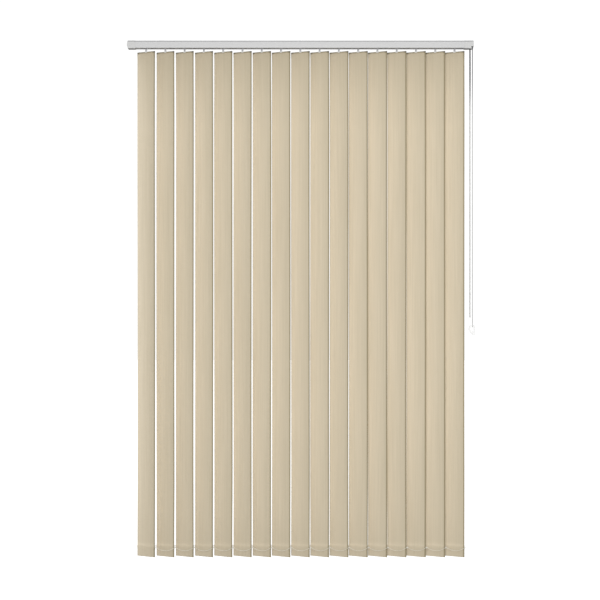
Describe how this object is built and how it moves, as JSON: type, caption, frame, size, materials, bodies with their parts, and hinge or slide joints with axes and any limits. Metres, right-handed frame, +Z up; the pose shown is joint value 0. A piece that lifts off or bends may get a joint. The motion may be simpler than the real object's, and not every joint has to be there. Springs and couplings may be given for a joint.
{
  "type": "vertical blind",
  "caption": "Vertical blind: white headrail with cloth louvres hung on sliding carriers, tilt chain, draw cord and bottom chain.",
  "frame": {"origin": "middle of the line of ceiling screws, in the plane of the ceiling face of the mounting clips", "axes": "+X along the headrail to the control end, +Y away from the room to the window, +Z up"},
  "size_m": [1.4046, 0.0573, 2.0852],
  "materials": {
    "rail_white": "white powder coat, satin",
    "moulded_white": "white moulded, satin gloss",
    "carrier_plastic": "white moulded, matt",
    "chain_plastic": "white moulded beads",
    "cord_white": "white braided polyester",
    "rod_aluminium": "drawn",
    "clip_steel": "zinc plated",
    "louvre_cloth": "beige woven polyester, stiffened"
  },
  "bodies": {
    "rail": {"headrail": "rail_white", "control_end_cap": "moulded_white", "idle_end_cap": "moulded_white", "mounting_clips": "clip_steel", "tilt_chain": "chain_plastic", "draw_cord": "cord_white", "cord_weight": "moulded_white", "carrier_17": "carrier_plastic"},
    "tilt_drive": {"tilt_rod": "rod_aluminium", "chain_wheel": "moulded_white"},
    "draw_pulley": {"return_pulley": "moulded_white"},
    "carrier_01": {"carrier_01": "carrier_plastic"},
    "carrier_02": {"carrier_02": "carrier_plastic"},
    "carrier_03": {"carrier_03": "carrier_plastic"},
    "carrier_04": {"carrier_04": "carrier_plastic"},
    "carrier_05": {"carrier_05": "carrier_plastic"},
    "carrier_06": {"carrier_06": "carrier_plastic"},
    "carrier_07": {"carrier_07": "carrier_plastic"},
    "carrier_08": {"carrier_08": "carrier_plastic"},
    "carrier_09": {"carrier_09": "carrier_plastic"},
    "carrier_10": {"carrier_10": "carrier_plastic"},
    "carrier_11": {"carrier_11": "carrier_plastic"},
    "carrier_12": {"carrier_12": "carrier_plastic"},
    "carrier_13": {"carrier_13": "carrier_plastic"},
    "carrier_14": {"carrier_14": "carrier_plastic"},
    "carrier_15": {"carrier_15": "carrier_plastic"},
    "carrier_16": {"carrier_16": "carrier_plastic"},
    "louvre_01": {"louvre_01": "louvre_cloth"},
    "louvre_02": {"louvre_02": "louvre_cloth"},
    "louvre_03": {"louvre_03": "louvre_cloth"},
    "louvre_04": {"louvre_04": "louvre_cloth"},
    "louvre_05": {"louvre_05": "louvre_cloth"},
    "louvre_06": {"louvre_06": "louvre_cloth"},
    "louvre_07": {"louvre_07": "louvre_cloth"},
    "louvre_08": {"louvre_08": "louvre_cloth"},
    "louvre_09": {"louvre_09": "louvre_cloth"},
    "louvre_10": {"louvre_10": "louvre_cloth"},
    "louvre_11": {"louvre_11": "louvre_cloth"},
    "louvre_12": {"louvre_12": "louvre_cloth"},
    "louvre_13": {"louvre_13": "louvre_cloth"},
    "louvre_14": {"louvre_14": "louvre_cloth"},
    "louvre_15": {"louvre_15": "louvre_cloth"},
    "louvre_16": {"louvre_16": "louvre_cloth"},
    "louvre_17": {"louvre_17": "louvre_cloth"},
    "bottom_chain_01": {"bottom_chain_01": "chain_plastic"},
    "bottom_chain_02": {"bottom_chain_02": "chain_plastic"},
    "bottom_chain_03": {"bottom_chain_03": "chain_plastic"},
    "bottom_chain_04": {"bottom_chain_04": "chain_plastic"},
    "bottom_chain_05": {"bottom_chain_05": "chain_plastic"},
    "bottom_chain_06": {"bottom_chain_06": "chain_plastic"},
    "bottom_chain_07": {"bottom_chain_07": "chain_plastic"},
    "bottom_chain_08": {"bottom_chain_08": "chain_plastic"},
    "bottom_chain_09": {"bottom_chain_09": "chain_plastic"},
    "bottom_chain_10": {"bottom_chain_10": "chain_plastic"},
    "bottom_chain_11": {"bottom_chain_11": "chain_plastic"},
    "bottom_chain_12": {"bottom_chain_12": "chain_plastic"},
    "bottom_chain_13": {"bottom_chain_13": "chain_plastic"},
    "bottom_chain_14": {"bottom_chain_14": "chain_plastic"},
    "bottom_chain_15": {"bottom_chain_15": "chain_plastic"},
    "bottom_chain_16": {"bottom_chain_16": "chain_plastic"}
  },
  "joints": [
    {"name": "traverse", "type": "slide", "parent": "rail", "child": "carrier_01", "axis": [1, 0, 0], "range_m": [0, 0.912], "deforming": ["bottom_chain_01", "bottom_chain_02", "bottom_chain_03", "bottom_chain_04", "bottom_chain_05", "bottom_chain_06", "bottom_chain_07", "bottom_chain_08", "bottom_chain_09", "bottom_chain_10", "bottom_chain_11", "bottom_chain_12", "bottom_chain_13", "bottom_chain_14", "bottom_chain_15", "bottom_chain_16"]},
    {"name": "traverse_02", "type": "slide", "parent": "rail", "child": "carrier_02", "axis": [1, 0, 0], "range_m": [0, 0.8555]},
    {"name": "traverse_03", "type": "slide", "parent": "rail", "child": "carrier_03", "axis": [1, 0, 0], "range_m": [0, 0.7985]},
    {"name": "traverse_04", "type": "slide", "parent": "rail", "child": "carrier_04", "axis": [1, 0, 0], "range_m": [0, 0.7415]},
    {"name": "traverse_05", "type": "slide", "parent": "rail", "child": "carrier_05", "axis": [1, 0, 0], "range_m": [0, 0.6845]},
    {"name": "traverse_06", "type": "slide", "parent": "rail", "child": "carrier_06", "axis": [1, 0, 0], "range_m": [0, 0.6275]},
    {"name": "traverse_07", "type": "slide", "parent": "rail", "child": "carrier_07", "axis": [1, 0, 0], "range_m": [0, 0.5705]},
    {"name": "traverse_08", "type": "slide", "parent": "rail", "child": "carrier_08", "axis": [1, 0, 0], "range_m": [0, 0.5135]},
    {"name": "traverse_09", "type": "slide", "parent": "rail", "child": "carrier_09", "axis": [1, 0, 0], "range_m": [0, 0.4565]},
    {"name": "traverse_10", "type": "slide", "parent": "rail", "child": "carrier_10", "axis": [1, 0, 0], "range_m": [0, 0.3995]},
    {"name": "traverse_11", "type": "slide", "parent": "rail", "child": "carrier_11", "axis": [1, 0, 0], "range_m": [0, 0.3425]},
    {"name": "traverse_12", "type": "slide", "parent": "rail", "child": "carrier_12", "axis": [1, 0, 0], "range_m": [0, 0.2855]},
    {"name": "traverse_13", "type": "slide", "parent": "rail", "child": "carrier_13", "axis": [1, 0, 0], "range_m": [0, 0.2285]},
    {"name": "traverse_14", "type": "slide", "parent": "rail", "child": "carrier_14", "axis": [1, 0, 0], "range_m": [0, 0.1715]},
    {"name": "traverse_15", "type": "slide", "parent": "rail", "child": "carrier_15", "axis": [1, 0, 0], "range_m": [0, 0.1145]},
    {"name": "traverse_16", "type": "slide", "parent": "rail", "child": "carrier_16", "axis": [1, 0, 0], "range_m": [0, 0.0575]},
    {"name": "tilt", "type": "hinge", "parent": "carrier_01", "child": "louvre_01", "pos_m": [-0.624, 0, -0.02], "axis": [0, 0, -1], "range_deg": [-15, 129]},
    {"name": "tilt_02", "type": "hinge", "parent": "carrier_02", "child": "louvre_02", "pos_m": [-0.546, 0, -0.02], "axis": [0, 0, -1], "range_deg": [-16, 130]},
    {"name": "tilt_03", "type": "hinge", "parent": "carrier_03", "child": "louvre_03", "pos_m": [-0.468, 0, -0.02], "axis": [0, 0, -1], "range_deg": [-16, 130]},
    {"name": "tilt_04", "type": "hinge", "parent": "carrier_04", "child": "louvre_04", "pos_m": [-0.39, 0, -0.02], "axis": [0, 0, -1], "range_deg": [-16, 130]},
    {"name": "tilt_05", "type": "hinge", "parent": "carrier_05", "child": "louvre_05", "pos_m": [-0.312, 0, -0.02], "axis": [0, 0, -1], "range_deg": [-16, 130]},
    {"name": "tilt_06", "type": "hinge", "parent": "carrier_06", "child": "louvre_06", "pos_m": [-0.234, 0, -0.02], "axis": [0, 0, -1], "range_deg": [-16, 130]},
    {"name": "tilt_07", "type": "hinge", "parent": "carrier_07", "child": "louvre_07", "pos_m": [-0.156, 0, -0.02], "axis": [0, 0, -1], "range_deg": [-16, 130]},
    {"name": "tilt_08", "type": "hinge", "parent": "carrier_08", "child": "louvre_08", "pos_m": [-0.078, 0, -0.02], "axis": [0, 0, -1], "range_deg": [-16, 130]},
    {"name": "tilt_09", "type": "hinge", "parent": "carrier_09", "child": "louvre_09", "pos_m": [0, 0, -0.02], "axis": [0, 0, -1], "range_deg": [-16, 130]},
    {"name": "tilt_10", "type": "hinge", "parent": "carrier_10", "child": "louvre_10", "pos_m": [0.078, 0, -0.02], "axis": [0, 0, -1], "range_deg": [-16, 130]},
    {"name": "tilt_11", "type": "hinge", "parent": "carrier_11", "child": "louvre_11", "pos_m": [0.156, 0, -0.02], "axis": [0, 0, -1], "range_deg": [-16, 130]},
    {"name": "tilt_12", "type": "hinge", "parent": "carrier_12", "child": "louvre_12", "pos_m": [0.234, 0, -0.02], "axis": [0, 0, -1], "range_deg": [-16, 130]},
    {"name": "tilt_13", "type": "hinge", "parent": "carrier_13", "child": "louvre_13", "pos_m": [0.312, 0, -0.02], "axis": [0, 0, -1], "range_deg": [-16, 130]},
    {"name": "tilt_14", "type": "hinge", "parent": "carrier_14", "child": "louvre_14", "pos_m": [0.39, 0, -0.02], "axis": [0, 0, -1], "range_deg": [-16, 130]},
    {"name": "tilt_15", "type": "hinge", "parent": "carrier_15", "child": "louvre_15", "pos_m": [0.468, 0, -0.02], "axis": [0, 0, -1], "range_deg": [-16, 130]},
    {"name": "tilt_16", "type": "hinge", "parent": "carrier_16", "child": "louvre_16", "pos_m": [0.546, 0, -0.02], "axis": [0, 0, -1], "range_deg": [-16, 130]},
    {"name": "tilt_17", "type": "hinge", "parent": "rail", "child": "louvre_17", "pos_m": [0.624, 0, -0.02], "axis": [0, 0, -1], "range_deg": [-16, 130]},
    {"name": "chain_swing_01", "type": "hinge", "parent": "louvre_01", "child": "bottom_chain_01", "pos_m": [-0.58207, -0.02723, -2.0456], "axis": [0, 0, -1], "range_deg": [-130, 16]},
    {"name": "chain_swing_02", "type": "hinge", "parent": "louvre_02", "child": "bottom_chain_02", "pos_m": [-0.50407, -0.02723, -2.0456], "axis": [0, 0, -1], "range_deg": [-130, 16]},
    {"name": "chain_swing_03", "type": "hinge", "parent": "louvre_03", "child": "bottom_chain_03", "pos_m": [-0.42607, -0.02723, -2.0456], "axis": [0, 0, -1], "range_deg": [-130, 16]},
    {"name": "chain_swing_04", "type": "hinge", "parent": "louvre_04", "child": "bottom_chain_04", "pos_m": [-0.34807, -0.02723, -2.0456], "axis": [0, 0, -1], "range_deg": [-130, 16]},
    {"name": "chain_swing_05", "type": "hinge", "parent": "louvre_05", "child": "bottom_chain_05", "pos_m": [-0.27007, -0.02723, -2.0456], "axis": [0, 0, -1], "range_deg": [-130, 16]},
    {"name": "chain_swing_06", "type": "hinge", "parent": "louvre_06", "child": "bottom_chain_06", "pos_m": [-0.19207, -0.02723, -2.0456], "axis": [0, 0, -1], "range_deg": [-130, 16]},
    {"name": "chain_swing_07", "type": "hinge", "parent": "louvre_07", "child": "bottom_chain_07", "pos_m": [-0.11407, -0.02723, -2.0456], "axis": [0, 0, -1], "range_deg": [-130, 16]},
    {"name": "chain_swing_08", "type": "hinge", "parent": "louvre_08", "child": "bottom_chain_08", "pos_m": [-0.03607, -0.02723, -2.0456], "axis": [0, 0, -1], "range_deg": [-130, 16]},
    {"name": "chain_swing_09", "type": "hinge", "parent": "louvre_09", "child": "bottom_chain_09", "pos_m": [0.04193, -0.02723, -2.0456], "axis": [0, 0, -1], "range_deg": [-130, 16]},
    {"name": "chain_swing_10", "type": "hinge", "parent": "louvre_10", "child": "bottom_chain_10", "pos_m": [0.11993, -0.02723, -2.0456], "axis": [0, 0, -1], "range_deg": [-130, 16]},
    {"name": "chain_swing_11", "type": "hinge", "parent": "louvre_11", "child": "bottom_chain_11", "pos_m": [0.19793, -0.02723, -2.0456], "axis": [0, 0, -1], "range_deg": [-130, 16]},
    {"name": "chain_swing_12", "type": "hinge", "parent": "louvre_12", "child": "bottom_chain_12", "pos_m": [0.27593, -0.02723, -2.0456], "axis": [0, 0, -1], "range_deg": [-130, 16]},
    {"name": "chain_swing_13", "type": "hinge", "parent": "louvre_13", "child": "bottom_chain_13", "pos_m": [0.35393, -0.02723, -2.0456], "axis": [0, 0, -1], "range_deg": [-130, 16]},
    {"name": "chain_swing_14", "type": "hinge", "parent": "louvre_14", "child": "bottom_chain_14", "pos_m": [0.43193, -0.02723, -2.0456], "axis": [0, 0, -1], "range_deg": [-130, 16]},
    {"name": "chain_swing_15", "type": "hinge", "parent": "louvre_15", "child": "bottom_chain_15", "pos_m": [0.50993, -0.02723, -2.0456], "axis": [0, 0, -1], "range_deg": [-130, 16]},
    {"name": "chain_swing_16", "type": "hinge", "parent": "louvre_16", "child": "bottom_chain_16", "pos_m": [0.58793, -0.02723, -2.0456], "axis": [0, 0, -1], "range_deg": [-130, 16]},
    {"name": "rod_turn", "type": "hinge", "parent": "rail", "child": "tilt_drive", "pos_m": [0, 0.0083, -0.0155], "axis": [1, 0, 0], "range_deg": [-122, 1034]},
    {"name": "pulley_turn", "type": "hinge", "parent": "rail", "child": "draw_pulley", "pos_m": [-0.658, -0.0165, -0.0092], "axis": [0, -1, 0], "range_deg": [-5, 9336]}
  ],
  "couplings": [
    {"joint": "traverse_02", "follows": "traverse", "ratio": 0.9375},
    {"joint": "traverse_03", "follows": "traverse", "ratio": 0.875},
    {"joint": "traverse_04", "follows": "traverse", "ratio": 0.8125},
    {"joint": "traverse_05", "follows": "traverse", "ratio": 0.75},
    {"joint": "traverse_06", "follows": "traverse", "ratio": 0.6875},
    {"joint": "traverse_07", "follows": "traverse", "ratio": 0.625},
    {"joint": "traverse_08", "follows": "traverse", "ratio": 0.5625},
    {"joint": "traverse_09", "follows": "traverse", "ratio": 0.5},
    {"joint": "traverse_10", "follows": "traverse", "ratio": 0.4375},
    {"joint": "traverse_11", "follows": "traverse", "ratio": 0.375},
    {"joint": "traverse_12", "follows": "traverse", "ratio": 0.3125},
    {"joint": "traverse_13", "follows": "traverse", "ratio": 0.25},
    {"joint": "traverse_14", "follows": "traverse", "ratio": 0.1875},
    {"joint": "traverse_15", "follows": "traverse", "ratio": 0.125},
    {"joint": "traverse_16", "follows": "traverse", "ratio": 0.0625},
    {"joint": "tilt_02", "follows": "tilt", "ratio": 1},
    {"joint": "tilt_03", "follows": "tilt", "ratio": 1},
    {"joint": "tilt_04", "follows": "tilt", "ratio": 1},
    {"joint": "tilt_05", "follows": "tilt", "ratio": 1},
    {"joint": "tilt_06", "follows": "tilt", "ratio": 1},
    {"joint": "tilt_07", "follows": "tilt", "ratio": 1},
    {"joint": "tilt_08", "follows": "tilt", "ratio": 1},
    {"joint": "tilt_09", "follows": "tilt", "ratio": 1},
    {"joint": "tilt_10", "follows": "tilt", "ratio": 1},
    {"joint": "tilt_11", "follows": "tilt", "ratio": 1},
    {"joint": "tilt_12", "follows": "tilt", "ratio": 1},
    {"joint": "tilt_13", "follows": "tilt", "ratio": 1},
    {"joint": "tilt_14", "follows": "tilt", "ratio": 1},
    {"joint": "tilt_15", "follows": "tilt", "ratio": 1},
    {"joint": "tilt_16", "follows": "tilt", "ratio": 1},
    {"joint": "tilt_17", "follows": "tilt", "ratio": 1},
    {"joint": "chain_swing_01", "follows": "tilt", "ratio": -1},
    {"joint": "chain_swing_02", "follows": "tilt", "ratio": -1},
    {"joint": "chain_swing_03", "follows": "tilt", "ratio": -1},
    {"joint": "chain_swing_04", "follows": "tilt", "ratio": -1},
    {"joint": "chain_swing_05", "follows": "tilt", "ratio": -1},
    {"joint": "chain_swing_06", "follows": "tilt", "ratio": -1},
    {"joint": "chain_swing_07", "follows": "tilt", "ratio": -1},
    {"joint": "chain_swing_08", "follows": "tilt", "ratio": -1},
    {"joint": "chain_swing_09", "follows": "tilt", "ratio": -1},
    {"joint": "chain_swing_10", "follows": "tilt", "ratio": -1},
    {"joint": "chain_swing_11", "follows": "tilt", "ratio": -1},
    {"joint": "chain_swing_12", "follows": "tilt", "ratio": -1},
    {"joint": "chain_swing_13", "follows": "tilt", "ratio": -1},
    {"joint": "chain_swing_14", "follows": "tilt", "ratio": -1},
    {"joint": "chain_swing_15", "follows": "tilt", "ratio": -1},
    {"joint": "chain_swing_16", "follows": "tilt", "ratio": -1},
    {"joint": "rod_turn", "follows": "tilt", "ratio": 8},
    {"joint": "pulley_turn", "follows": "traverse", "rad_per_m": 178.57}
  ]
}
